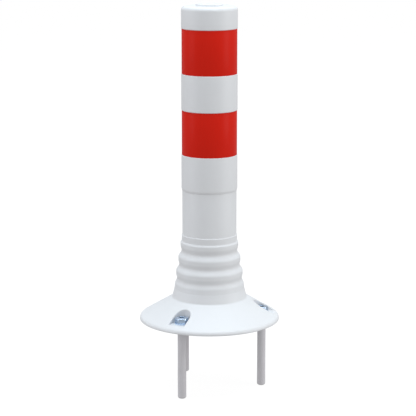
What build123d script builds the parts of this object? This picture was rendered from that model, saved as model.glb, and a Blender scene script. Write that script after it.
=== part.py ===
from build123d import *
import math
import os

# Flexible delineator post. A hollow sleeve with two red bands stands on a ribbed neck, and the neck stands
# on a round base that three hex screws hold down in plastic ground plugs. Millimetres, +Z up. The origin is
# the middle of the base's underside, and the first screw is on +X.

# ---------------------------------------------------------------- overall sizes
post_height = 450.0
base_diameter = 200.0
sleeve_diameter = 79.0

# ---------------------------------------------------------------- base
neck_start_height = 45.5  # where the base ends and the ribbed neck starts
rim_radius = 6.0  # round outer rim
base_edge_radius = 1.0  # small rounding round the underside
neck_fillet_radius = 3.0  # hollow rounding from the cone up to the neck's foot
neck_foot_rise = 11.9  # height of the slightly flared foot above that rounding
neck_foot_flare = 14.0  # degrees from upright

# ---------------------------------------------------------------- anchors
anchor_count = 3
anchor_inset = 25.0  # from the rim to each screw's axis
pocket_floor_height = 8.7
pocket_clearance = 2.0  # round each washer
pocket_edge_radius = 1.5  # soft edge where a pocket opens in the cone
screw_diameter = 10.0
screw_core_diameter = 7.0
screw_length = 100.0  # under the head
screw_point_length = 10.0
thread_pitch = 5.0
thread_length = 80.0
head_width = 17.0  # across the flats
head_height = 7.0
head_top_diameter = 16.4
head_crown_height = 2.4  # height of the sloping crown round the head's top
drive_diameter = 8.8  # across the six lobes of the drive recess
drive_lobe_radius = 1.1
drive_depth = 4.6
washer_diameter = 20.0
washer_thickness = 2.0
washer_hole_clearance = 0.25  # all round the screw
washer_edge_break = 0.3
plug_diameter = 12.0
plug_length = 100.0
thread_bite = 1.0  # how far the screw's thread cuts into the plug
plug_tip_wall = 2.0
plug_tip_radius = 3.5
plug_hole_clearance = 0.5  # between a plug's line and the base's hole, all round

# ---------------------------------------------------------------- ribbed neck
collar_height = 7.7  # upright stretch above the highest groove
neck_wall = 4.0
groove_heights = (14.4, 34.3, 54.8, 69.8)  # above the start of the neck, where it bends
groove_offsets = (7.95, 4.65, 1.2, 0.9)  # outwards from the tube's face, the last one also the collar's
crest_heights = (23.0, 43.1, 64.2)
crest_offsets = (9.15, 5.85, 2.7)
crest_flat = 4.0  # height of the upright face on each crest
foot_crest_height = 5.9
foot_crest_drop = 0.7  # the foot's narrowing from the base up to its own crest
foot_offset = 11.55

# ---------------------------------------------------------------- sleeve and tube
sleeve_start_height = 187.5
sleeve_wall = 2.6
sleeve_top_wall = 4.0
sleeve_top_radius = 6.0
sleeve_inner_radius = 2.5
sleeve_taper_height = 3.0
sleeve_taper = 0.9
tube_step = 1.05  # the sleeve's face stands this far out from the lower tube's
tube_foot_height = 1.2  # sloping ledge from the neck's collar in to the tube's face
spigot_length = 40.0
spigot_clearance = 0.1
spigot_wall = 2.4

# ---------------------------------------------------------------- red bands
band_height = 62.7
top_margin = 31.6  # from the top of the upper band to the sleeve's top face
recess_depth = 0.9
recess_shoulder = 0.6  # height of each sloping shoulder
film_thickness = 0.3
film_end_gap = 0.2  # above and below the film
film_butt_gap = 0.8  # at the back, where its two ends meet

# ---------------------------------------------------------------- top plug
cap_diameter = 38.8
cap_thickness = 2.7
cap_edge_radius = 1.3
cap_dish_diameter = 24.0
cap_dish_depth = 0.8
stem_diameter = 24.0
stem_wall = 2.5
stem_clearance = 0.15
stem_lip = 0.6
stem_lip_height = 3.0
stem_lip_gap = 0.1
stem_slot_width = 2.0

# ---------------------------------------------------------------- worked out from the sizes above
base_radius = base_diameter / 2
sleeve_radius = sleeve_diameter / 2
sleeve_bore_radius = sleeve_radius - sleeve_wall
sleeve_top_height = post_height - cap_thickness
tube_radius = sleeve_radius - tube_step
spigot_radius = sleeve_bore_radius - spigot_clearance
tube_bore_radius = spigot_radius - spigot_wall
neck_top_height = neck_start_height + groove_heights[-1] + collar_height
collar_radius = tube_radius + groove_offsets[-1]
foot_radius = tube_radius + foot_offset
base_bore_radius = foot_radius - neck_wall
bolt_circle_radius = base_radius - anchor_inset
plug_radius = plug_diameter / 2
plug_bore_radius = screw_diameter / 2 - thread_bite
anchor_hole_radius = plug_radius + plug_hole_clearance
pocket_radius = washer_diameter / 2 + pocket_clearance
head_seat_height = pocket_floor_height + washer_thickness
film_radius = sleeve_radius - recess_depth
upper_band_top = sleeve_top_height - top_margin
# The white stripe between the bands is as high as the one under them.
white_stripe_height = (upper_band_top - sleeve_start_height) / 2 - band_height
band_tops = {
    "red_band_lower": upper_band_top - band_height - white_stripe_height,
    "red_band_upper": upper_band_top,
}
stem_hole_radius = stem_diameter / 2 + stem_clearance

os.makedirs("parts", exist_ok=True)


def save(piece, name):
    piece.part.label = name
    export_step(piece.part, f"parts/{name}.step")


# ---------------------------------------------------------------- base flange


def base_outline():
    """Half section of the base: flared foot, hollow rounding, straight cone, round rim and flat underside."""
    flare = math.radians(neck_foot_flare)
    rounding_x = foot_radius + neck_foot_rise * math.tan(flare) + neck_fillet_radius * math.cos(flare)
    rounding_z = neck_start_height - neck_foot_rise + neck_fillet_radius * math.sin(flare)
    rim_x = base_radius - rim_radius
    rim_z = base_edge_radius
    # The cone is the straight line that touches both roundings and crosses from one to the other.
    run = rim_x - rounding_x
    drop = rounding_z - rim_z
    touch = math.asin((neck_fillet_radius + rim_radius) / math.hypot(run, drop))
    slope = math.degrees(math.atan2(drop, run) - touch)
    with BuildLine() as outline:
        turn = 90 - slope - neck_foot_flare
        rounding = CenterArc((rounding_x, rounding_z), neck_fillet_radius, 180 + neck_foot_flare, turn)
        rim = CenterArc((rim_x, rim_z), rim_radius, 90 - slope, slope - 90)
        edge = CenterArc((base_radius - base_edge_radius, base_edge_radius), base_edge_radius, 0, -90)
        Line(rounding @ 1, rim @ 0)
        Polyline(
            edge @ 1,
            (base_bore_radius, 0),
            (base_bore_radius, neck_start_height),
            (foot_radius, neck_start_height),
            rounding @ 0,
        )
    return outline.line


with BuildPart() as base_flange:
    with BuildSketch(Plane.XZ):
        make_face(base_outline().edges())
    revolve(axis=Axis.Z)
    # Pockets for the screw heads, open outwards.
    with BuildSketch(Plane.XY.offset(pocket_floor_height)):
        with PolarLocations(bolt_circle_radius, anchor_count):
            Circle(pocket_radius)
            Rectangle(anchor_inset, 2 * pocket_radius, align=(Align.MIN, Align.CENTER))
    extrude(amount=neck_start_height - pocket_floor_height, mode=Mode.SUBTRACT)
    cone = base_flange.faces().filter_by(GeomType.CONE).sort_by(SortBy.AREA)[-1]
    fillet([edge for mouth in cone.inner_wires() for edge in mouth.edges()], pocket_edge_radius)
    with BuildSketch():
        with PolarLocations(bolt_circle_radius, anchor_count):
            Circle(anchor_hole_radius)
    extrude(amount=pocket_floor_height, mode=Mode.SUBTRACT)

save(base_flange, "base_flange")

# ---------------------------------------------------------------- screws, washers and plugs


def shank_outline():
    """Half section of the screw's shank: plain under the head, then ridges for the thread, then the point."""
    core = screw_core_diameter / 2
    crest = screw_diameter / 2
    tip_height = head_seat_height - screw_length
    thread_top = tip_height + thread_length
    ridge_count = int((thread_length - screw_point_length) / thread_pitch)
    points = [(0, head_seat_height), (crest, head_seat_height)]
    for ridge in range(ridge_count):
        crest_height = thread_top - ridge * thread_pitch
        points.append((crest, crest_height))
        points.append((core, crest_height - 0.3 * thread_pitch))
        points.append((core, crest_height - 0.7 * thread_pitch))
    points.append((core, tip_height + screw_point_length))
    points.append((0, tip_height))
    with BuildLine() as outline:
        Polyline(*points, close=True)
    return outline.line


with BuildPart() as hex_screw:
    head_top_height = head_seat_height + head_height
    with BuildSketch(Plane.XY.offset(head_seat_height)):
        RegularPolygon(head_width / 2, 6, major_radius=False)
    extrude(amount=head_height)
    # The crown is a cone that cuts the six corners back.
    corner_radius = head_width / math.sqrt(3)
    with BuildSketch(Plane.XZ):
        with BuildLine():
            Polyline(
                (head_top_diameter / 2, head_top_height),
                (corner_radius, head_top_height - head_crown_height),
                (corner_radius, head_top_height),
                close=True,
            )
        make_face()
    revolve(axis=Axis.Z, mode=Mode.SUBTRACT)
    with BuildSketch(Plane.XY.offset(head_top_height)):
        Circle(drive_diameter / 2 - drive_lobe_radius)
        with PolarLocations(drive_diameter / 2 - drive_lobe_radius, 6):
            Circle(drive_lobe_radius)
    extrude(amount=-drive_depth, mode=Mode.SUBTRACT)
    with BuildSketch(Plane.XZ):
        make_face(shank_outline().edges())
    revolve(axis=Axis.Z)

with BuildPart() as washer:
    with BuildSketch(Plane.XY.offset(pocket_floor_height)):
        Circle(washer_diameter / 2)
        Circle(screw_diameter / 2 + washer_hole_clearance, mode=Mode.SUBTRACT)
    extrude(amount=washer_thickness)
    chamfer(washer.edges().filter_by(GeomType.CIRCLE).group_by(SortBy.RADIUS)[-1], washer_edge_break)

with BuildPart() as anchor_plug:
    with BuildSketch():
        Circle(plug_radius)
    extrude(amount=-plug_length)
    fillet(anchor_plug.edges().filter_by(GeomType.CIRCLE).sort_by(Axis.Z)[0], plug_tip_radius)
    with BuildSketch():
        Circle(plug_bore_radius)
    extrude(amount=plug_tip_wall - plug_length, mode=Mode.SUBTRACT)

fasteners = {"hex_screw": hex_screw, "washer": washer, "anchor_plug": anchor_plug}

for name, pattern in fasteners.items():
    for number in range(anchor_count):
        with BuildPart() as fastener:
            with PolarLocations(bolt_circle_radius, 1, start_angle=number * 360 / anchor_count):
                add(pattern.part)
        save(fastener, f"{name}_{number + 1}")

# ---------------------------------------------------------------- ribbed neck


def neck_outline():
    """Half section of the whole neck: waves outside, a smooth narrowing bore inside."""
    heights = [neck_start_height + height for height in groove_heights]
    grooves = [(tube_radius + offset, height) for offset, height in zip(groove_offsets, heights)]
    crest_middles = [neck_start_height + height for height in crest_heights]
    crest_radii = [tube_radius + offset for offset in crest_offsets]
    upright = (0, 1)
    with BuildLine() as outline:
        foot = Line(
            (foot_radius, neck_start_height),
            (foot_radius - foot_crest_drop, neck_start_height + foot_crest_height),
        )
        wave = Spline(foot @ 1, grooves[0], tangents=(foot % 1, upright))
        for radius, middle, groove in zip(crest_radii, crest_middles, grooves[1:]):
            rise = Spline(wave @ 1, (radius, middle - crest_flat / 2), tangents=(upright, upright))
            flat = Line(rise @ 1, (radius, middle + crest_flat / 2))
            wave = Spline(flat @ 1, groove, tangents=(upright, upright))
        Polyline(
            wave @ 1,
            (collar_radius, neck_top_height),
            (tube_bore_radius, neck_top_height),
            (grooves[2][0] - neck_wall, grooves[2][1]),
            (grooves[1][0] - neck_wall, grooves[1][1]),
            (grooves[0][0] - neck_wall, grooves[0][1]),
            (base_bore_radius, neck_start_height),
            foot @ 0,
        )
    return outline.line


with BuildPart() as neck:
    with BuildSketch(Plane.XZ):
        make_face(neck_outline().edges())
    revolve(axis=Axis.Z)

# The neck bends at its grooves, so each groove parts one piece from the next.
neck_names = ("neck_foot", "neck_ring_lower", "neck_ring_middle", "neck_ring_upper", "neck_collar")
bend_heights = [neck_start_height + height for height in groove_heights]
neck_levels = [neck_start_height, *bend_heights, neck_top_height]

for name, low, high in zip(neck_names, neck_levels, neck_levels[1:]):
    with BuildPart() as ring:
        with BuildSketch(Plane.XY.offset(low)):
            Circle(foot_radius + neck_wall)
        extrude(amount=high - low)
        add(neck.part, mode=Mode.INTERSECT)
    save(ring, name)

# ---------------------------------------------------------------- lower tube and sleeve

with BuildPart() as lower_tube:
    with BuildSketch(Plane.XY.offset(neck_top_height)):
        Circle(tube_radius)
    extrude(amount=sleeve_start_height - neck_top_height)
    with Locations((0, 0, neck_top_height)):
        Cone(collar_radius, tube_radius, tube_foot_height, align=(Align.CENTER, Align.CENTER, Align.MIN))
    with BuildSketch(Plane.XY.offset(sleeve_start_height)):
        Circle(spigot_radius)
    extrude(amount=spigot_length)
    chamfer(lower_tube.edges().sort_by(Axis.Z)[-1], spigot_wall / 2)
    with BuildSketch(Plane.XY.offset(neck_top_height)):
        Circle(tube_bore_radius)
    extrude(amount=sleeve_start_height + spigot_length - neck_top_height, mode=Mode.SUBTRACT)

save(lower_tube, "lower_tube")


def sleeve_outline():
    """Half section of the sleeve: tapered foot, two band recesses, rounded shoulder and a holed top."""
    ceiling = sleeve_top_height - sleeve_top_wall
    points = [
        (sleeve_bore_radius, sleeve_start_height),
        (sleeve_radius - sleeve_taper, sleeve_start_height),
        (sleeve_radius, sleeve_start_height + sleeve_taper_height),
    ]
    for band_top in band_tops.values():
        low = band_top - band_height - film_end_gap
        high = band_top + film_end_gap
        points.append((sleeve_radius, low - recess_shoulder))
        points.append((film_radius, low))
        points.append((film_radius, high))
        points.append((sleeve_radius, high + recess_shoulder))
    with BuildLine() as outline:
        shoulder_centre = (sleeve_radius - sleeve_top_radius, sleeve_top_height - sleeve_top_radius)
        shoulder = CenterArc(shoulder_centre, sleeve_top_radius, 0, 90)
        corner_centre = (sleeve_bore_radius - sleeve_inner_radius, ceiling - sleeve_inner_radius)
        corner = CenterArc(corner_centre, sleeve_inner_radius, 0, 90)
        Polyline(*points, shoulder @ 0)
        Polyline(shoulder @ 1, (stem_hole_radius, sleeve_top_height), (stem_hole_radius, ceiling), corner @ 1)
        Line(corner @ 0, points[0])
    return outline.line


with BuildPart() as upper_sleeve:
    with BuildSketch(Plane.XZ):
        make_face(sleeve_outline().edges())
    revolve(axis=Axis.Z)

save(upper_sleeve, "upper_sleeve")

# ---------------------------------------------------------------- red bands

for name, band_top in band_tops.items():
    with BuildPart() as band:
        with BuildSketch(Plane.XY.offset(band_top - band_height)):
            Circle(film_radius + film_thickness)
            Circle(film_radius, mode=Mode.SUBTRACT)
            with Locations((0, film_radius)):
                Rectangle(film_butt_gap, 4 * film_thickness, mode=Mode.SUBTRACT)
        extrude(amount=band_height)
    save(band, name)

# ---------------------------------------------------------------- top plug


def plug_outline():
    """Half section of the top plug: dished disc, hollow stem and the lip that snaps under the sleeve."""
    cap_radius = cap_diameter / 2
    stem_radius = stem_diameter / 2
    dish_radius = cap_dish_diameter / 2
    lip_height = sleeve_top_height - sleeve_top_wall - stem_lip_gap
    with BuildLine() as outline:
        edge_centre = (cap_radius - cap_edge_radius, post_height - cap_edge_radius)
        edge = CenterArc(edge_centre, cap_edge_radius, 0, 90)
        Polyline(
            edge @ 1,
            (dish_radius, post_height),
            (dish_radius - cap_dish_depth, post_height - cap_dish_depth),
            (0, post_height - cap_dish_depth),
            (0, sleeve_top_height),
            (stem_radius - stem_wall, sleeve_top_height),
            (stem_radius - stem_wall, lip_height - stem_lip_height),
            (stem_radius - stem_lip, lip_height - stem_lip_height),
            (stem_radius + stem_lip, lip_height),
            (stem_radius, lip_height),
            (stem_radius, sleeve_top_height),
            (cap_radius, sleeve_top_height),
            edge @ 0,
        )
    return outline.line


with BuildPart() as top_plug:
    with BuildSketch(Plane.XZ):
        make_face(plug_outline().edges())
    revolve(axis=Axis.Z)
    # Crossed slots part the stem into four fingers that can spring inwards.
    slot_length = stem_diameter + 4 * stem_lip
    with BuildSketch(Plane.XY.offset(sleeve_top_height - sleeve_top_wall / 2)):
        Rectangle(slot_length, stem_slot_width)
        Rectangle(stem_slot_width, slot_length)
    extrude(amount=-(sleeve_top_wall + stem_lip_height), mode=Mode.SUBTRACT)

save(top_plug, "top_plug")
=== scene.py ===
import math

import bmesh
import bpy
from bpy.props import FloatProperty, FloatVectorProperty, IntProperty, PointerProperty
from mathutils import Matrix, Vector


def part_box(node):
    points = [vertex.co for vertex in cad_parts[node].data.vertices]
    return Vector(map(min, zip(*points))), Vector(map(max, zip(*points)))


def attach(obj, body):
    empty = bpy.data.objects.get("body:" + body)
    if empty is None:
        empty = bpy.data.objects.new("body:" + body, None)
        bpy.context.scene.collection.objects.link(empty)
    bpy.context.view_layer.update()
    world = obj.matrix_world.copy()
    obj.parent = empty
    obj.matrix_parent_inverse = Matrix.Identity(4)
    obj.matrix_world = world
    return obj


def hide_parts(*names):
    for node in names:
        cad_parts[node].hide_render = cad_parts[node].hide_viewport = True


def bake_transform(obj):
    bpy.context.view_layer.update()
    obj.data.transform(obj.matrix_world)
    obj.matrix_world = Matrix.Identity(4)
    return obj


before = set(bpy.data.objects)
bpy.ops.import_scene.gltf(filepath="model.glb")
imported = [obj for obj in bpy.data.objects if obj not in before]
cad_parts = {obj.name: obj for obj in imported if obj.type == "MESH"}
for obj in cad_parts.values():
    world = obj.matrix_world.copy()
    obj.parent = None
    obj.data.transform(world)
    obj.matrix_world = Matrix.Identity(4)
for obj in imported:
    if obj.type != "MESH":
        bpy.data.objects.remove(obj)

bl_info = {
    "name": "Delineator Post",
    "version": (1, 0, 0),
    "blender": (4, 5, 0),
    "location": "View3D > Sidebar > Post",
    "description": "Builds a flexible delineator post round its packed frame, with materials and a stage",
    "category": "Object",
}

MILLIMETRE = 0.001
CLOSE = 0.01 * MILLIMETRE  # vertices of the frame nearer than this share a level or a radius
ANCHOR_COUNT = 3
NECK_PIECES = ("neck_foot", "neck_ring_lower", "neck_ring_middle", "neck_ring_upper", "neck_collar")


# ------------------------------------------------------------------ sizes read from the frame


def low_of(node):
    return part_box(node)[0]


def high_of(node):
    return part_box(node)[1]


def radius_of(node):
    return high_of(node).x


def rims_at(node, height):
    """Inner and outer radius of a round node's face at a height."""
    radii = [
        math.hypot(vertex.co.x, vertex.co.y)
        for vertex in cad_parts[node].data.vertices
        if abs(vertex.co.z - height) < CLOSE
    ]
    return min(radii), max(radii)


def crest_of(node):
    """Lowest and highest level and the radius of the upright face round a neck ring's crest."""
    points = [(math.hypot(v.co.x, v.co.y), v.co.z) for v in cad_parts[node].data.vertices]
    radius = max(r for r, _ in points)
    levels = [z for r, z in points if r > radius - CLOSE]
    return min(levels), max(levels), radius


def bolt_circle():
    """Radius of the circle that the three anchors stand on."""
    middle = (low_of("washer_1") + high_of("washer_1")) / 2
    return math.hypot(middle.x, middle.y)


# ------------------------------------------------------------------ settings


class PostBodySettings(bpy.types.PropertyGroup):
    """Sizes and colours of the white moulded body."""

    sides: IntProperty(
        name="Sides", description="Faces round each turned piece", default=144, min=48, max=256
    )
    edge_radius: FloatProperty(
        name="Edge radius",
        description="Rounding of the moulded edges",
        default=0.5 * MILLIMETRE,
        unit="LENGTH",
    )
    color: FloatVectorProperty(
        name="White",
        description="Colour of the white polyurethane",
        default=(0.74, 0.75, 0.765),
        subtype="COLOR",
        size=3,
    )


class BandSettings(bpy.types.PropertyGroup):
    """Sizes and colours of the red sheeting."""

    cell: FloatProperty(
        name="Cell",
        description="Width of one reflecting cell of the sheeting",
        default=2.4 * MILLIMETRE,
        unit="LENGTH",
    )
    color: FloatVectorProperty(
        name="Red",
        description="Colour of the sheeting",
        default=(0.65, 0.0165, 0.0075),
        subtype="COLOR",
        size=3,
    )


class FastenerSettings(bpy.types.PropertyGroup):
    """Sizes and colours of the screws, washers and plugs."""

    thread_pitch: FloatProperty(
        name="Thread pitch",
        description="Rise of the thread in one turn",
        default=5.0 * MILLIMETRE,
        unit="LENGTH",
    )
    steel_color: FloatVectorProperty(
        name="Zinc",
        description="Colour of the zinc plate",
        default=(0.56, 0.69, 0.86),
        subtype="COLOR",
        size=3,
    )
    nylon_color: FloatVectorProperty(
        name="Grey",
        description="Colour of the grey nylon plugs",
        default=(0.66, 0.65, 0.675),
        subtype="COLOR",
        size=3,
    )


class StageSettings(bpy.types.PropertyGroup):
    """Floor, light and camera."""

    camera_distance: FloatProperty(
        name="Camera distance", description="From the post's axis, level", default=2.258, unit="LENGTH"
    )
    camera_height: FloatProperty(
        name="Camera height", description="Above the ground face", default=0.6179, unit="LENGTH"
    )
    camera_tilt: FloatProperty(
        name="Camera tilt", description="Below the horizon", default=math.radians(11.44), subtype="ANGLE"
    )
    camera_turn: FloatProperty(
        name="Camera turn",
        description="Round the post, from straight ahead",
        default=math.radians(1.0),
        subtype="ANGLE",
    )
    camera_shift: FloatProperty(
        name="Camera shift", description="Sideways, as a share of the picture's width", default=-0.0034
    )
    lens: FloatProperty(name="Lens", description="Focal length in millimetres", default=140.3, min=20.0)


# ------------------------------------------------------------------ shader groups


def new_group(name, inputs, outputs):
    """An empty shader node group with named inputs and outputs."""
    group = bpy.data.node_groups.new(name, "ShaderNodeTree")
    for label, default in inputs.items():
        socket = group.interface.new_socket(label, in_out="INPUT", socket_type="NodeSocketFloat")
        socket.default_value = default
    for label in outputs:
        group.interface.new_socket(label, in_out="OUTPUT", socket_type="NodeSocketFloat")
    start = group.nodes.new("NodeGroupInput")
    end = group.nodes.new("NodeGroupOutput")
    return group, start, end


def maths(tree, operation, first, second=None, third=None):
    """A Math node; each value is a number or an output socket."""
    node = tree.nodes.new("ShaderNodeMath")
    node.operation = operation
    for index, value in enumerate((first, second, third)):
        if value is None:
            continue
        if isinstance(value, (int, float)):
            node.inputs[index].default_value = value
        else:
            tree.links.new(value, node.inputs[index])
    return node.outputs[0]


def noise(tree, vector, scale, detail=2.0, roughness=0.5):
    """A Noise Texture's value; the scale is a number or a socket."""
    node = tree.nodes.new("ShaderNodeTexNoise")
    node.inputs["Detail"].default_value = detail
    node.inputs["Roughness"].default_value = roughness
    tree.links.new(vector, node.inputs["Vector"])
    if isinstance(scale, (int, float)):
        node.inputs["Scale"].default_value = scale
    else:
        tree.links.new(scale, node.inputs["Scale"])
    return node.outputs["Fac"]


def object_coordinates(tree):
    return tree.nodes.new("ShaderNodeTexCoord").outputs["Object"]


def moulded_grain_group():
    """Fine grain and slow waviness of a moulded plastic face."""
    inputs = {"Grain Scale": 1400.0, "Wave Scale": 38.0}
    group, start, end = new_group("Moulded Grain", inputs, ("Height", "Mottle"))
    where = object_coordinates(group)
    grain_share = 0.45
    grain = noise(group, where, start.outputs["Grain Scale"], detail=3.0)
    wave = noise(group, where, start.outputs["Wave Scale"], detail=2.0)
    height = maths(group, "MULTIPLY_ADD", grain, grain_share, wave)
    group.links.new(height, end.inputs["Height"])
    group.links.new(wave, end.inputs["Mottle"])
    return group


def dust_group():
    """Where road dust would settle: faces that look up, broken by a slow noise."""
    group, start, end = new_group("Settled Dust", {"Scale": 60.0, "Amount": 0.5}, ("Mask",))
    where = object_coordinates(group)
    patches = noise(group, where, start.outputs["Scale"], detail=5.0, roughness=0.65)
    geometry = group.nodes.new("ShaderNodeNewGeometry")
    split = group.nodes.new("ShaderNodeSeparateXYZ")
    group.links.new(geometry.outputs["Normal"], split.inputs[0])
    upward = maths(group, "MAXIMUM", split.outputs["Z"], 0.0)
    broken = maths(group, "MULTIPLY", upward, patches)
    mask = maths(group, "MULTIPLY", broken, start.outputs["Amount"])
    group.links.new(mask, end.inputs["Mask"])
    return group


def place_group(tree, group, **values):
    """A shader group in a material; its inputs are given by name, with _ for a space."""
    node = tree.nodes.new("ShaderNodeGroup")
    node.node_tree = group
    for label, value in values.items():
        node.inputs[label.replace("_", " ")].default_value = value
    return node


def mixed(tree, factor, first, second):
    """A colour between two, by a factor socket; each colour is a tuple or a socket."""
    node = tree.nodes.new("ShaderNodeMix")
    node.data_type = "RGBA"
    tree.links.new(factor, node.inputs["Factor"])
    for label, value in (("A", first), ("B", second)):
        socket = next(s for s in node.inputs if s.name == label and s.type == "RGBA")
        if isinstance(value, tuple):
            socket.default_value = (*value[:3], 1.0)
        else:
            tree.links.new(value, socket)
    return next(s for s in node.outputs if s.type == "RGBA")


def ranged(tree, value, low, high):
    """A value from 0..1 carried to low..high."""
    return maths(tree, "MULTIPLY_ADD", value, high - low, low)


def bumped(tree, shader, height, strength, distance):
    """Gives a shader small relief from a height socket."""
    bump = tree.nodes.new("ShaderNodeBump")
    bump.inputs["Strength"].default_value = strength
    bump.inputs["Distance"].default_value = distance
    tree.links.new(height, bump.inputs["Height"])
    tree.links.new(bump.outputs["Normal"], shader.inputs["Normal"])


def new_material(name):
    material = bpy.data.materials.new(name)
    material.use_nodes = True
    return material, material.node_tree, material.node_tree.nodes["Principled BSDF"]


# ------------------------------------------------------------------ materials


def shaded(color, factor):
    return tuple(channel * factor for channel in color)


def white_polyurethane(name, color):
    """Satin moulded polyurethane: fine grain, slow flow marks and a breath of dust on what looks up."""
    material, tree, shader = new_material(name)
    grain = place_group(tree, groups["grain"], Grain_Scale=1500.0, Wave_Scale=45.0)
    dust = place_group(tree, groups["dust"], Scale=70.0, Amount=0.12)
    body = mixed(tree, grain.outputs["Mottle"], shaded(color, 0.985), shaded(color, 1.015))
    dusty = mixed(tree, dust.outputs["Mask"], body, shaded(color, 0.80))
    tree.links.new(dusty, shader.inputs["Base Color"])
    tree.links.new(ranged(tree, grain.outputs["Mottle"], 0.40, 0.54), shader.inputs["Roughness"])
    bumped(tree, shader, grain.outputs["Height"], 0.25, 0.05 * MILLIMETRE)
    shader.inputs["IOR"].default_value = 1.47
    return material


def red_sheeting(settings):
    """Retroreflective sheeting: a clear smooth face over slanting rows of fine square cells."""
    material, tree, shader = new_material("Red Sheeting")
    color = tuple(settings.color)
    uv = tree.nodes.new("ShaderNodeUVMap")
    uv.uv_map = "Unrolled"
    cells = tree.nodes.new("ShaderNodeTexVoronoi")
    cells.feature = "DISTANCE_TO_EDGE"
    cells.inputs["Randomness"].default_value = 0.0
    cells.inputs["Scale"].default_value = 1.0 / settings.cell
    # The rows of cells climb the sheeting at 45 degrees.
    slant = tree.nodes.new("ShaderNodeMapping")
    slant.vector_type = "POINT"
    slant.inputs["Rotation"].default_value = (0.0, 0.0, math.radians(45.0))
    tree.links.new(uv.outputs["UV"], slant.inputs["Vector"])
    tree.links.new(slant.outputs["Vector"], cells.inputs["Vector"])
    wall_width = 0.06
    wall_strength = 0.18
    wall = maths(tree, "LESS_THAN", cells.outputs["Distance"], wall_width)
    grain = place_group(tree, groups["grain"], Grain_Scale=900.0, Wave_Scale=30.0)
    film = mixed(tree, grain.outputs["Mottle"], shaded(color, 0.96), shaded(color, 1.04))
    celled = mixed(tree, maths(tree, "MULTIPLY", wall, wall_strength), film, shaded(color, 1.25))
    tree.links.new(celled, shader.inputs["Base Color"])
    tree.links.new(ranged(tree, grain.outputs["Mottle"], 0.34, 0.46), shader.inputs["Roughness"])
    bumped(tree, shader, grain.outputs["Height"], 0.12, 0.05 * MILLIMETRE)
    shader.inputs["Specular IOR Level"].default_value = 0.04
    shader.inputs["Coat Weight"].default_value = 0.04
    shader.inputs["Coat Roughness"].default_value = 0.2
    return material


def zinc_steel(settings):
    """Bright zinc plate: bluish, with fine drawing lines and cloudy patches."""
    material, tree, shader = new_material("Zinc Steel")
    color = tuple(settings.steel_color)
    where = object_coordinates(tree)
    cloud = noise(tree, where, 160.0, detail=4.0)
    fine = noise(tree, where, 2600.0, detail=2.0)
    plate = mixed(tree, cloud, shaded(color, 0.82), shaded(color, 1.15))
    tree.links.new(plate, shader.inputs["Base Color"])
    tree.links.new(ranged(tree, cloud, 0.12, 0.26), shader.inputs["Roughness"])
    bumped(tree, shader, fine, 0.15, 0.05 * MILLIMETRE)
    shader.inputs["Metallic"].default_value = 1.0
    return material


def grey_nylon(settings):
    """Matte grey nylon with a fine grain."""
    material, tree, shader = new_material("Grey Nylon")
    color = tuple(settings.nylon_color)
    grain = place_group(tree, groups["grain"], Grain_Scale=2200.0, Wave_Scale=90.0)
    body = mixed(tree, grain.outputs["Mottle"], shaded(color, 0.94), shaded(color, 1.06))
    tree.links.new(body, shader.inputs["Base Color"])
    tree.links.new(ranged(tree, grain.outputs["Mottle"], 0.48, 0.64), shader.inputs["Roughness"])
    bumped(tree, shader, grain.outputs["Height"], 0.3, 0.04 * MILLIMETRE)
    return material


groups = {}
materials = {}


def build_materials(scene):
    groups["grain"] = moulded_grain_group()
    groups["dust"] = dust_group()
    materials["white"] = white_polyurethane("White Polyurethane", tuple(scene.post_body.color))
    materials["red"] = red_sheeting(scene.post_bands)
    materials["zinc"] = zinc_steel(scene.post_fasteners)
    materials["nylon"] = grey_nylon(scene.post_fasteners)


# ------------------------------------------------------------------ mesh makers


def rounded(corners, steps=5):
    """An outline with its corners rounded. Each corner is (radius from axis, height, rounding)."""
    longest_share = 0.49  # of either neighbouring side, that one rounding may take up
    straight = 1e-4
    outline = []
    count = len(corners)
    for index, (x, z, rounding) in enumerate(corners):
        corner = Vector((x, z))
        before = Vector(corners[index - 1][:2]) - corner
        after = Vector(corners[(index + 1) % count][:2]) - corner
        if rounding <= 0.0 or before.length == 0.0 or after.length == 0.0:
            outline.append((x, z))
            continue
        half = before.angle(after) / 2
        if abs(half - math.pi / 2) < straight:
            outline.append((x, z))
            continue
        longest = longest_share * min(before.length, after.length)
        reach = min(rounding / math.tan(half), longest)
        radius = reach * math.tan(half)
        before.normalize()
        after.normalize()
        first = corner + before * reach
        last = corner + after * reach
        centre = corner + (before + after).normalized() * (radius / math.sin(half))
        start = first - centre
        end = last - centre
        turn = start.angle_signed(end)
        for step in range(steps + 1):
            angle = -turn * step / steps
            outline.append(
                (
                    centre.x + start.x * math.cos(angle) - start.y * math.sin(angle),
                    centre.y + start.x * math.sin(angle) + start.y * math.cos(angle),
                )
            )
    return outline


def new_piece(name, mesh, material):
    piece = bpy.data.objects.new(name, mesh)
    bpy.context.scene.collection.objects.link(piece)
    mesh.materials.append(material)
    return piece


def finish_mesh(maker, name, sharp_angle=35.0):
    """Merges doubles, turns faces outwards, shades smooth with sharp edges kept."""
    bmesh.ops.remove_doubles(maker, verts=maker.verts, dist=0.001 * MILLIMETRE)
    bmesh.ops.recalc_face_normals(maker, faces=maker.faces)
    mesh = bpy.data.meshes.new(name)
    maker.to_mesh(mesh)
    maker.free()
    mesh.shade_smooth()
    mesh.set_sharp_from_angle(angle=math.radians(sharp_angle))
    return mesh


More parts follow.
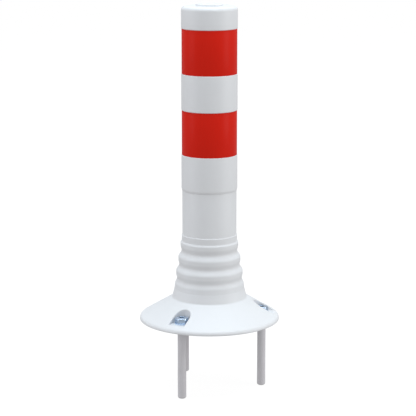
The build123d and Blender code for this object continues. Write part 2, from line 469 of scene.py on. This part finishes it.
def lathe(name, outline, sides, material, start=0.0, sweep=math.tau, sharp_angle=35.0):
    """Turns a closed outline of (radius, height) round Z, all the way or with closed ends."""
    maker = bmesh.new()
    full = sweep == math.tau
    columns = sides if full else sides + 1
    rings = []
    for column in range(columns):
        angle = start + sweep * column / sides
        cosine, sine = math.cos(angle), math.sin(angle)
        rings.append([maker.verts.new((r * cosine, r * sine, z)) for r, z in outline])
    count = len(outline)
    for column in range(sides):
        here = rings[column]
        there = rings[(column + 1) % columns]
        for index in range(count):
            following = (index + 1) % count
            maker.faces.new((here[index], there[index], there[following], here[following]))
    if not full:
        maker.faces.new(rings[0])
        maker.faces.new(list(reversed(rings[-1])))
    return new_piece(name, finish_mesh(maker, name, sharp_angle), material)


def wave_between(first, last, steps):
    """Points from one (radius, height) to another, leaving and arriving upright."""
    points = []
    for step in range(1, steps + 1):
        share = step / steps
        eased = share * share * (3 - 2 * share)
        points.append((first[0] + (last[0] - first[0]) * eased, first[1] + (last[1] - first[1]) * share))
    return points


def upright(radius, low, high, steps):
    """Points up a straight face, after its lowest."""
    return [(radius, low + (high - low) * step / steps) for step in range(1, steps + 1)]


# ------------------------------------------------------------------ ribbed neck


def neck_outline():
    """The neck's outer points from the base up to the tube, and its bore's points at the pieces' ends."""
    foot_crest_height = 5.9 * MILLIMETRE
    foot_crest_drop = 0.7 * MILLIMETRE
    foot_steps = 4
    wave_steps = 10
    crest_steps = 4
    collar_steps = 6
    foot, *rings, collar = NECK_PIECES
    start = low_of(foot).z
    bore_low, outer_low = rims_at(foot, start)
    bore_high, groove = rims_at(foot, high_of(foot).z)
    outer = []
    for step in range(foot_steps + 1):
        share = step / foot_steps
        outer.append((outer_low - foot_crest_drop * share, start + foot_crest_height * share))
    outer += wave_between(outer[-1], (groove, high_of(foot).z), wave_steps)
    inner = [(bore_low, start), (bore_high, high_of(foot).z)]
    for ring in rings:
        crest_low, crest_high, radius = crest_of(ring)
        top = high_of(ring).z
        bore, groove = rims_at(ring, top)
        outer += wave_between(outer[-1], (radius, crest_low), wave_steps)
        outer += upright(radius, crest_low, crest_high, crest_steps)
        outer += wave_between(outer[-1], (groove, top), wave_steps)
        inner.append((bore, top))
    top = high_of(collar).z
    bore, radius = rims_at(collar, top)
    outer += upright(radius, outer[-1][1], top, collar_steps)
    inner.append((bore, top))
    return outer, inner


def radius_at(points, height):
    """Radius of a line of (radius, height) points at a height, straight between them."""
    slack = 1e-9
    for (low_r, low_z), (high_r, high_z) in zip(points, points[1:]):
        if low_z - slack <= height <= high_z + slack:
            share = (height - low_z) / (high_z - low_z)
            return low_r + (high_r - low_r) * share
    raise ValueError(f"no point of the outline at height {height}")


def crest_middle(ring):
    low, high, _ = crest_of(ring)
    return (low + high) / 2


class NeckOperator(bpy.types.Operator):
    """Makes the ribbed neck: two skins that meet on the middle crest"""

    bl_idname = "post.neck"
    bl_label = "Ribbed Neck"

    def execute(self, context):
        settings = context.scene.post_body
        outer, inner = neck_outline()
        meeting = crest_middle("neck_ring_middle")
        skins = (
            ("neck_skin_lower", outer[0][1], meeting, ("neck_foot", "neck_middle"), NECK_PIECES[:2]),
            ("neck_skin_upper", meeting, outer[-1][1], ("neck_middle", "neck_top"), NECK_PIECES[2:]),
        )
        for name, low, high, bodies, nodes in skins:
            face = [(r, z) for r, z in outer if low + CLOSE < z < high - CLOSE]
            face = [(radius_at(outer, low), low), *face, (radius_at(outer, high), high)]
            bore = [(radius_at(inner, z), z) for _, z in reversed(face)]
            skin = lathe(name, face + bore, settings.sides, materials["white"], sharp_angle=50.0)
            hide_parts(*nodes)
            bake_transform(skin)
        return {"FINISHED"}


# ------------------------------------------------------------------ base, tube and sleeve


class BaseOperator(bpy.types.Operator):
    """Finishes the round base in white polyurethane"""

    bl_idname = "post.base"
    bl_label = "Base"

    def execute(self, context):
        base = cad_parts["base_flange"]
        base.data.materials.clear()
        base.data.materials.append(materials["white"])
        return {"FINISHED"}


class TubeOperator(bpy.types.Operator):
    """Makes the lower tube with the spigot that the sleeve sits on"""

    bl_idname = "post.tube"
    bl_label = "Lower Tube"

    def execute(self, context):
        settings = context.scene.post_body
        soft = settings.edge_radius
        bottom, top = low_of("lower_tube").z, high_of("lower_tube").z
        shoulder = low_of("upper_sleeve").z
        bore, collar = rims_at("lower_tube", bottom)
        spigot, outer = rims_at("lower_tube", shoulder)
        seat = bottom + 0.02 * MILLIMETRE  # the tube starts just above the neck's top face, without touching it
        ledge = 1.2 * MILLIMETRE
        corners = [
            (bore, seat, 0.0),
            (collar, seat, 0.0),
            (outer, seat + ledge, soft / 2),
            (outer, shoulder, soft),
            (spigot, shoulder, 0.0),
            (spigot, top, 2 * soft),
            (bore, top, soft),
        ]
        tube = lathe("lower_tube_skin", rounded(corners), settings.sides, materials["white"])
        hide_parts("lower_tube")
        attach(tube, "post")
        return {"FINISHED"}


class SleeveOperator(bpy.types.Operator):
    """Makes the closed sleeve with the two shallow recesses for the sheeting"""

    bl_idname = "post.sleeve"
    bl_label = "Sleeve"

    def execute(self, context):
        settings = context.scene.post_body
        soft = settings.edge_radius
        bottom, top = low_of("upper_sleeve").z, high_of("upper_sleeve").z
        radius = radius_of("upper_sleeve")
        bore, foot = rims_at("upper_sleeve", bottom)
        hole = rims_at("upper_sleeve", top)[0]
        ceiling = top - 4.0 * MILLIMETRE
        floor = rims_at("red_band_lower", low_of("red_band_lower").z)[0]
        end_gap = 0.2 * MILLIMETRE
        slope = 0.6 * MILLIMETRE
        taper_height = 3.0 * MILLIMETRE
        shoulder_radius = 6.0 * MILLIMETRE
        ceiling_radius = 2.5 * MILLIMETRE
        corners = [
            (bore, bottom, soft / 2),
            (foot, bottom, soft),
            (radius, bottom + taper_height, 6 * soft),
        ]
        for band in ("red_band_lower", "red_band_upper"):
            low, high = low_of(band).z - end_gap, high_of(band).z + end_gap
            corners += [
                (radius, low - slope, soft / 2),
                (floor, low, 0.0),
                (floor, high, 0.0),
                (radius, high + slope, soft / 2),
            ]
        corners += [
            (radius, top, shoulder_radius),
            (hole, top, 0.0),
            (hole, ceiling, 0.0),
            (bore, ceiling, ceiling_radius),
        ]
        sleeve = lathe("sleeve_skin", rounded(corners, steps=8), settings.sides, materials["white"])
        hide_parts("upper_sleeve")
        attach(sleeve, "post")
        return {"FINISHED"}


class TopPlugOperator(bpy.types.Operator):
    """Makes the top plug: a dished disc and the four springy fingers of its stem"""

    bl_idname = "post.top_plug"
    bl_label = "Top Plug"

    def execute(self, context):
        settings = context.scene.post_body
        top, bottom = high_of("top_plug").z, low_of("top_plug").z
        seat = high_of("upper_sleeve").z
        radius = radius_of("top_plug")
        dish = 12.0 * MILLIMETRE
        depth = 0.8 * MILLIMETRE
        stem = 12.0 * MILLIMETRE
        wall = 2.5 * MILLIMETRE
        lip = 0.6 * MILLIMETRE
        fingers = 4
        lip_height = bottom + 3.0 * MILLIMETRE
        root = seat - 2.0 * MILLIMETRE
        disc = [
            (0.0, seat, 0.0),
            (0.0, top - depth, 0.0),
            (dish - depth, top - depth, 0.3 * MILLIMETRE),
            (dish, top, 0.3 * MILLIMETRE),
            (radius, top, 1.3 * MILLIMETRE),
            (radius, seat, 0.15 * MILLIMETRE),
            (stem, seat, 0.0),
            (stem, root, 0.0),
            (stem - wall, root, 0.0),
            (stem - wall, seat, 0.0),
        ]
        cap = lathe("cap", rounded(disc, steps=6), settings.sides, materials["white"])
        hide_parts("top_plug")
        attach(cap, "post")
        finger = [
            (stem - wall, root, 0.0),
            (stem - wall, bottom, 0.0),
            (stem - lip, bottom, 0.2 * MILLIMETRE),
            (stem + lip, lip_height, 0.1 * MILLIMETRE),
            (stem, lip_height, 0.0),
            (stem, root, 0.0),
        ]
        half_slot = 1.0 * MILLIMETRE / stem
        share = math.tau / fingers
        for number in range(fingers):
            piece = lathe(
                f"cap_finger_{number + 1}",
                rounded(finger, steps=3),
                settings.sides // 6,
                materials["white"],
                start=number * share + half_slot,
                sweep=share - 2 * half_slot,
            )
            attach(piece, "post")
        return {"FINISHED"}


# ------------------------------------------------------------------ red bands


class BandsOperator(bpy.types.Operator):
    """Wraps each recess in a strip of red sheeting with a butt joint at the back"""

    bl_idname = "post.bands"
    bl_label = "Red Bands"

    def execute(self, context):
        sides = context.scene.post_body.sides
        edge = 0.08 * MILLIMETRE
        for node in ("red_band_lower", "red_band_upper"):
            low, high = low_of(node).z, high_of(node).z
            inner, outer = rims_at(node, low)
            gap = 0.8 * MILLIMETRE / outer
            corners = [(inner, low, 0.0), (outer, low, edge), (outer, high, edge), (inner, high, 0.0)]
            strip = lathe(
                node.replace("red_band", "red_strip"),
                rounded(corners, steps=3),
                sides,
                materials["red"],
                start=math.tau / 4 + gap / 2,
                sweep=math.tau - gap,
            )
            self.unroll(strip.data, outer)
            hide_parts(node)
            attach(strip, "post")
        return {"FINISHED"}

    @staticmethod
    def unroll(mesh, radius):
        """Lays the strip flat in its own UV map, in metres, starting at the joint at the back."""
        layer = mesh.uv_layers.new(name="Unrolled")
        for polygon in mesh.polygons:
            centre = math.atan2(-polygon.center.x, polygon.center.y) % math.tau
            for corner in polygon.loop_indices:
                point = mesh.vertices[mesh.loops[corner].vertex_index].co
                angle = math.atan2(-point.x, point.y) % math.tau
                if angle - centre > math.pi:
                    angle -= math.tau
                if centre - angle > math.pi:
                    angle += math.tau
                layer.data[corner].uv = (angle * radius, point.z)


# ------------------------------------------------------------------ anchors


def ring_of_copies_tree(name, material):
    """Geometry nodes that stand copies of an object's own mesh on a circle, each turned with it."""
    tree = bpy.data.node_groups.new(name, "GeometryNodeTree")
    tree.interface.new_socket("Geometry", in_out="INPUT", socket_type="NodeSocketGeometry")
    count = tree.interface.new_socket("Count", in_out="INPUT", socket_type="NodeSocketInt")
    count.default_value = ANCHOR_COUNT
    radius = tree.interface.new_socket("Circle Radius", in_out="INPUT", socket_type="NodeSocketFloat")
    radius.subtype = "DISTANCE"
    tree.interface.new_socket("Geometry", in_out="OUTPUT", socket_type="NodeSocketGeometry")
    start = tree.nodes.new("NodeGroupInput")
    end = tree.nodes.new("NodeGroupOutput")
    circle = tree.nodes.new("GeometryNodeMeshCircle")
    copies = tree.nodes.new("GeometryNodeInstanceOnPoints")
    index = tree.nodes.new("GeometryNodeInputIndex")
    divide = tree.nodes.new("ShaderNodeMath")
    divide.operation = "DIVIDE"
    turn = tree.nodes.new("ShaderNodeMath")
    turn.operation = "MULTIPLY"
    turn.inputs[1].default_value = math.tau
    spin = tree.nodes.new("ShaderNodeCombineXYZ")
    real = tree.nodes.new("GeometryNodeRealizeInstances")
    paint = tree.nodes.new("GeometryNodeSetMaterial")
    paint.inputs["Material"].default_value = material
    tree.links.new(start.outputs["Count"], circle.inputs["Vertices"])
    tree.links.new(start.outputs["Circle Radius"], circle.inputs["Radius"])
    tree.links.new(circle.outputs["Mesh"], copies.inputs["Points"])
    tree.links.new(start.outputs["Geometry"], copies.inputs["Instance"])
    tree.links.new(index.outputs["Index"], divide.inputs[0])
    tree.links.new(start.outputs["Count"], divide.inputs[1])
    tree.links.new(divide.outputs[0], turn.inputs[0])
    tree.links.new(turn.outputs[0], spin.inputs["Z"])
    tree.links.new(spin.outputs[0], copies.inputs["Rotation"])
    tree.links.new(copies.outputs["Instances"], real.inputs["Geometry"])
    tree.links.new(real.outputs["Geometry"], paint.inputs["Geometry"])
    tree.links.new(paint.outputs["Geometry"], end.inputs["Geometry"])
    return tree, {"Count": count.identifier, "Circle Radius": radius.identifier}


def stand_on_bolt_circle(pattern, name, material):
    """Real copies of a pattern on the bolt circle, one for each anchor, as one piece."""
    tree, sockets = ring_of_copies_tree(f"{name} Ring", material)
    modifier = pattern.modifiers.new("Ring", "NODES")
    modifier.node_group = tree
    modifier[sockets["Count"]] = ANCHOR_COUNT
    modifier[sockets["Circle Radius"]] = bolt_circle()
    context = bpy.context
    context.view_layer.update()
    evaluated = pattern.evaluated_get(context.evaluated_depsgraph_get())
    mesh = bpy.data.meshes.new_from_object(evaluated)
    mesh.name = name
    piece = bpy.data.objects.new(name, mesh)
    context.scene.collection.objects.link(piece)
    pattern.modifiers.clear()
    bpy.data.objects.remove(pattern)
    return piece


def close_over(maker, rings):
    """Adds the faces between each ring of vertices and the next one up, and closes both ends."""
    for lower, upper in zip(rings, rings[1:]):
        for side in range(len(lower)):
            following = (side + 1) % len(lower)
            maker.faces.new((lower[side], lower[following], upper[following], upper[side]))
    maker.faces.new(list(reversed(rings[0])))
    maker.faces.new(rings[-1])


def screw_shank(maker, core, crest, low, top, plain, pitch, sides=32):
    """Adds a shank with a helical thread that fades out at the point and under the plain stretch."""
    rows_per_turn = 12
    tip_share = 0.12  # of the core's radius, at the very point
    point = 2 * pitch
    run_out = 0.5 * pitch
    sharpness = 3.2  # half a ridge is this many times narrower than the pitch
    ridge_left = 0.3  # of the ridge's height, where the plain stretch begins
    rows = int((top - low) / pitch * rows_per_turn)
    rings = []
    for row in range(rows + 1):
        z = low + (top - low) * row / rows
        ring = []
        for side in range(sides):
            angle = math.tau * side / sides
            if z > plain:
                radius = crest
            else:
                phase = (z / pitch - side / sides) % 1.0
                ridge = max(0.0, 1.0 - abs(phase - 0.5) * sharpness)
                fade = min(1.0, (z - low) / point, (plain - z) / run_out + ridge_left)
                radius = core * min(1.0, tip_share + (z - low) / point) + (crest - core) * ridge * fade
            ring.append(maker.verts.new((radius * math.cos(angle), radius * math.sin(angle), z)))
        rings.append(ring)
    close_over(maker, rings)


def hexagon_radius(angle, half_width, corner):
    """Distance from the middle to a hexagon's side, with its corners slightly rounded."""
    step = math.tau / 6
    local = (angle + step / 2) % step - step / 2
    return min(half_width / math.cos(step / 2 - abs(local)), corner)


def screw_head(maker, seat, top, half_width, crown_radius, drive_radius, drive_depth, sides=120):
    """Adds a hex head with a coned crown and a six-lobed recess."""
    corner_share = 0.985  # of a sharp hexagon's corner that is left after rounding
    corner = half_width / math.cos(math.tau / 12) * corner_share
    crown_height = 2.4 * MILLIMETRE
    crown_steps = 6
    soft = 0.35 * MILLIMETRE
    recess_taper = 0.1 * MILLIMETRE
    lobe_share = 0.14
    angles = [math.tau * side / sides for side in range(sides)]

    def hexagon(shrink, limit):
        return [min(hexagon_radius(angle, half_width, corner) - shrink, limit) for angle in angles]

    def lobes(shrink):
        middle = 1.0 - lobe_share
        return [drive_radius * (middle + lobe_share * math.cos(6 * angle)) - shrink for angle in angles]

    def crown_limit(z):
        return crown_radius + (corner - crown_radius) * (top - z) / crown_height

    levels = [(seat, hexagon(soft, corner)), (seat + soft, hexagon(0.0, corner))]
    for step in range(crown_steps + 1):
        z = top - crown_height + (crown_height - soft) * step / crown_steps
        levels.append((z, hexagon(0.0, crown_limit(z))))
    levels.append((top - soft * 0.3, hexagon(0.0, crown_limit(top) - soft * 0.3)))
    levels.append((top, hexagon(0.0, crown_limit(top) - soft * 1.2)))
    levels.append((top, lobes(-soft)))
    levels.append((top - soft, lobes(0.0)))
    levels.append((top - drive_depth, lobes(recess_taper)))
    rings = []
    for z, radii in levels:
        ring = []
        for angle, radius in zip(angles, radii):
            ring.append(maker.verts.new((radius * math.cos(angle), radius * math.sin(angle), z)))
        rings.append(ring)
    close_over(maker, rings)


class ScrewsOperator(bpy.types.Operator):
    """Makes the three hex screws with their six-lobed drives and helical threads"""

    bl_idname = "post.screws"
    bl_label = "Hex Screws"

    def execute(self, context):
        settings = context.scene.post_fasteners
        seat = high_of("washer_1").z
        low, top = low_of("hex_screw_1").z, high_of("hex_screw_1").z
        half_width = (high_of("hex_screw_1").y - low_of("hex_screw_1").y) / 2
        maker = bmesh.new()
        screw_head(
            maker,
            seat,
            top,
            half_width,
            crown_radius=8.2 * MILLIMETRE,
            drive_radius=4.4 * MILLIMETRE,
            drive_depth=4.6 * MILLIMETRE,
        )
        screw_shank(
            maker,
            core=3.5 * MILLIMETRE,
            crest=5.0 * MILLIMETRE,
            low=low,
            top=seat,
            plain=low + 80.0 * MILLIMETRE,
            pitch=settings.thread_pitch,
        )
        mesh = finish_mesh(maker, "screw_pattern", sharp_angle=30.0)
        pattern = new_piece("screw_pattern", mesh, materials["zinc"])
        screws = stand_on_bolt_circle(pattern, "hex_screws", materials["zinc"])
        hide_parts("hex_screw_1", "hex_screw_2", "hex_screw_3")
        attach(screws, "base")
        return {"FINISHED"}


class WashersOperator(bpy.types.Operator):
    """Makes the three washers under the screw heads"""

    bl_idname = "post.washers"
    bl_label = "Washers"

    def execute(self, context):
        low, high = low_of("washer_1").z, high_of("washer_1").z
        radius = (high_of("washer_1").x - low_of("washer_1").x) / 2
        hole = 5.25 * MILLIMETRE
        soft = 0.3 * MILLIMETRE
        corners = [
            (hole, low, soft / 2),
            (radius, low, soft),
            (radius, high, soft),
            (hole, high, soft / 2),
        ]
        pattern = lathe("washer_pattern", rounded(corners), 72, materials["zinc"])
        washers = stand_on_bolt_circle(pattern, "washers", materials["zinc"])
        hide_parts("washer_1", "washer_2", "washer_3")
        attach(washers, "base")
        return {"FINISHED"}


class AnchorPlugsOperator(bpy.types.Operator):
    """Makes the three grey ground plugs with their round tips"""

    bl_idname = "post.anchor_plugs"
    bl_label = "Anchor Plugs"

    def execute(self, context):
        low, high = low_of("anchor_plug_1").z, high_of("anchor_plug_1").z
        radius = high_of("anchor_plug_1").y
        wall = 2.0 * MILLIMETRE
        bore = radius - wall
        tip_radius = 3.5 * MILLIMETRE
        corners = [
            (0.0, low, 0.0),
            (radius, low, tip_radius),
            (radius, high, 0.25 * MILLIMETRE),
            (bore, high, 0.2 * MILLIMETRE),
            (bore, low + wall, 0.0),
            (0.0, low + wall, 0.0),
        ]
        pattern = lathe("plug_pattern", rounded(corners, steps=10), 64, materials["nylon"])
        plugs = stand_on_bolt_circle(pattern, "anchor_plugs", materials["nylon"])
        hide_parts("anchor_plug_1", "anchor_plug_2", "anchor_plug_3")
        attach(plugs, "base")
        return {"FINISHED"}


# ------------------------------------------------------------------ stage


def white_light_material(name, seen, lit):
    """Pale surface that the camera sees at one brightness and the object is lit by at another."""
    material = bpy.data.materials.new(name)
    material.use_nodes = True
    tree = material.node_tree
    tree.nodes.clear()
    output = tree.nodes.new("ShaderNodeOutputMaterial")
    path = tree.nodes.new("ShaderNodeLightPath")
    glow = tree.nodes.new("ShaderNodeEmission")
    strength = maths(tree, "MULTIPLY_ADD", path.outputs["Is Camera Ray"], seen - lit, lit)
    tree.links.new(strength, glow.inputs["Strength"])
    diffuse = tree.nodes.new("ShaderNodeBsdfDiffuse")
    diffuse.inputs["Color"].default_value = (0.12, 0.12, 0.12, 1.0)
    both = tree.nodes.new("ShaderNodeAddShader")
    tree.links.new(glow.outputs[0], both.inputs[0])
    tree.links.new(diffuse.outputs[0], both.inputs[1])
    tree.links.new(both.outputs[0], output.inputs["Surface"])
    return material


def area_light(name, place, aim, size, power, color=(1.0, 1.0, 1.0)):
    """A rectangular light at a place, turned to the point it aims at."""
    data = bpy.data.lights.new(name, "AREA")
    data.shape = "RECTANGLE"
    data.size, data.size_y = size
    data.energy = power
    data.color = color
    light = bpy.data.objects.new(name, data)
    bpy.context.scene.collection.objects.link(light)
    light.location = place
    light.rotation_euler = (Vector(aim) - Vector(place)).to_track_quat("-Z", "Y").to_euler()


class StageOperator(bpy.types.Operator):
    """Lays the pale floor and sets the soft lights and the camera"""

    bl_idname = "post.stage"
    bl_label = "Stage"

    def execute(self, context):
        settings = context.scene.post_stage
        self.floor()
        self.world(context.scene)
        self.lights()
        self.camera(context.scene, settings)
        context.scene.view_settings.view_transform = "Standard"
        return {"FINISHED"}

    @staticmethod
    def floor():
        """A large disc just under the plugs' tips."""
        radius = 30.0
        gap = 0.5 * MILLIMETRE
        maker = bmesh.new()
        level = low_of("anchor_plug_1").z - gap
        bmesh.ops.create_circle(maker, cap_ends=True, radius=radius, segments=96)
        mesh = bpy.data.meshes.new("floor")
        maker.to_mesh(mesh)
        maker.free()
        for vertex in mesh.vertices:
            vertex.co.z = level
        floor = new_piece("floor", mesh, white_light_material("Pale Floor", seen=0.93, lit=0.38))

    @staticmethod
    def world(scene):
        world = bpy.data.worlds.new("Soft White")
        scene.world = world
        world.use_nodes = True
        tree = world.node_tree
        background = tree.nodes["Background"]
        background.inputs["Color"].default_value = (1.0, 0.985, 0.985, 1.0)
        path = tree.nodes.new("ShaderNodeLightPath")
        seen, lit = 1.0, 0.585
        strength = maths(tree, "MULTIPLY_ADD", path.outputs["Is Camera Ray"], seen - lit, lit)
        tree.links.new(strength, background.inputs["Strength"])

    @staticmethod
    def lights():
        middle = (0.0, 0.0, 0.2)
        side = (0.9, 1.6)
        cool = (0.80, 0.92, 1.0)
        faintly_cool = (0.95, 0.95, 1.0)
        area_light("top_softbox", (0.0, -0.05, 2.3), middle, size=(2.0, 2.0), power=46.0, color=cool)
        area_light("right_fill", (1.95, -0.5, 0.6), middle, size=side, power=13.0)
        area_light("left_fill", (-1.95, -0.5, 0.6), middle, size=side, power=8.0, color=faintly_cool)

    @staticmethod
    def camera(scene, settings):
        data = bpy.data.cameras.new("camera")
        data.lens = settings.lens
        data.sensor_width = 36.0
        camera = bpy.data.objects.new("camera", data)
        scene.collection.objects.link(camera)
        turn = settings.camera_turn
        distance = settings.camera_distance
        camera.location = (distance * math.sin(turn), -distance * math.cos(turn), settings.camera_height)
        camera.rotation_euler = (math.pi / 2 - settings.camera_tilt, 0.0, turn)
        data.shift_x = settings.camera_shift
        scene.camera = camera


# ------------------------------------------------------------------ panel and registration


class PostPanel(bpy.types.Panel):
    """Lists the post's pieces"""

    bl_idname = "VIEW3D_PT_post"
    bl_label = "Delineator Post"
    bl_space_type = "VIEW_3D"
    bl_region_type = "UI"
    bl_category = "Post"

    def draw(self, context):
        for operator in PIECES:
            self.layout.operator(operator.bl_idname)


PIECES = (
    BaseOperator,
    NeckOperator,
    TubeOperator,
    SleeveOperator,
    BandsOperator,
    TopPlugOperator,
    WashersOperator,
    ScrewsOperator,
    AnchorPlugsOperator,
    StageOperator,
)
SETTINGS = {
    "post_body": PostBodySettings,
    "post_bands": BandSettings,
    "post_fasteners": FastenerSettings,
    "post_stage": StageSettings,
}


def register():
    for settings in SETTINGS.values():
        bpy.utils.register_class(settings)
    for operator in PIECES:
        bpy.utils.register_class(operator)
    bpy.utils.register_class(PostPanel)
    for name, settings in SETTINGS.items():
        setattr(bpy.types.Scene, name, PointerProperty(type=settings))


def unregister():
    for name in SETTINGS:
        delattr(bpy.types.Scene, name)
    bpy.utils.unregister_class(PostPanel)
    for operator in reversed(PIECES):
        bpy.utils.unregister_class(operator)
    for settings in reversed(SETTINGS.values()):
        bpy.utils.unregister_class(settings)


def main():
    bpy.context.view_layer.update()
    register()
    build_materials(bpy.context.scene)
    for operator in PIECES:
        name = operator.bl_idname.split(".")[1]
        getattr(bpy.ops.post, name)()


if __name__ == "__main__":
    main()
